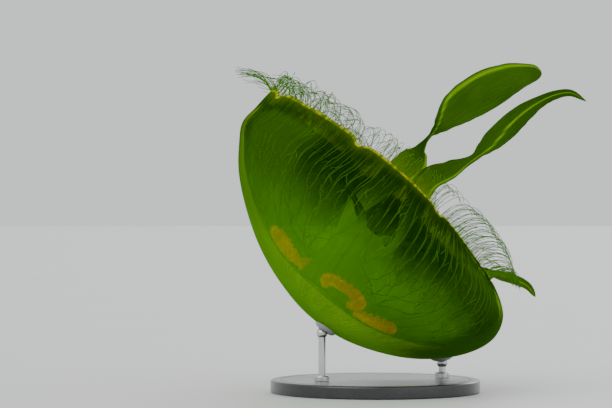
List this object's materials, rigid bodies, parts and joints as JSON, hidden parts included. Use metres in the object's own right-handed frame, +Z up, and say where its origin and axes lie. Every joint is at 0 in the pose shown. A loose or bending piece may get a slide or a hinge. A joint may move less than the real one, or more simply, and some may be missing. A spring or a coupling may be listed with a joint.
{
  "type": "moon jellyfish",
  "caption": "Life-size still model of a moon jellyfish in a swimming stroke, bell tilted with trailing oral arms and fringe, on a small display stand.",
  "frame": {"origin": "centre of the stand's flat underside", "axes": "+Z up; +X towards the low side of the bell, where the oral arms trail; +Y from the front of the model to its back"},
  "size_m": [0.2169, 0.1956, 0.2063],
  "materials": {
    "bell_flesh": "clear wet gel, yellow-green",
    "arm_flesh": "clear wet gel, yellow-green",
    "gonad_tissue": "soft folded tissue, orange-yellow",
    "sense_tissue": "soft tissue, amber",
    "stand_lacquer": "satin black lacquer",
    "stand_steel": "brushed"
  },
  "bodies": {
    "root": {"bell_crown": "bell_flesh", "bell_lobe_1": "bell_flesh", "bell_lobe_2": "bell_flesh", "bell_lobe_3": "bell_flesh", "bell_lobe_4": "bell_flesh", "bell_lobe_5": "bell_flesh", "bell_lobe_6": "bell_flesh", "bell_lobe_7": "bell_flesh", "bell_lobe_8": "bell_flesh", "rhopalium_1": "sense_tissue", "rhopalium_2": "sense_tissue", "rhopalium_3": "sense_tissue", "rhopalium_4": "sense_tissue", "rhopalium_5": "sense_tissue", "rhopalium_6": "sense_tissue", "rhopalium_7": "sense_tissue", "rhopalium_8": "sense_tissue", "gonad_1": "gonad_tissue", "gonad_2": "gonad_tissue", "gonad_3": "gonad_tissue", "gonad_4": "gonad_tissue", "mouth_stalk": "arm_flesh", "oral_arm_front_base": "arm_flesh", "oral_arm_front_middle": "arm_flesh", "oral_arm_front_tip": "arm_flesh", "oral_arm_low_base": "arm_flesh", "oral_arm_low_tip": "arm_flesh", "oral_arm_back_base": "arm_flesh", "oral_arm_back_middle": "arm_flesh", "oral_arm_back_tip": "arm_flesh", "oral_arm_high_base": "arm_flesh", "oral_arm_high_tip": "arm_flesh", "stand_base": "stand_lacquer", "stand_rod_1": "stand_steel", "stand_rod_2": "stand_steel"}
  },
  "joints": []
}
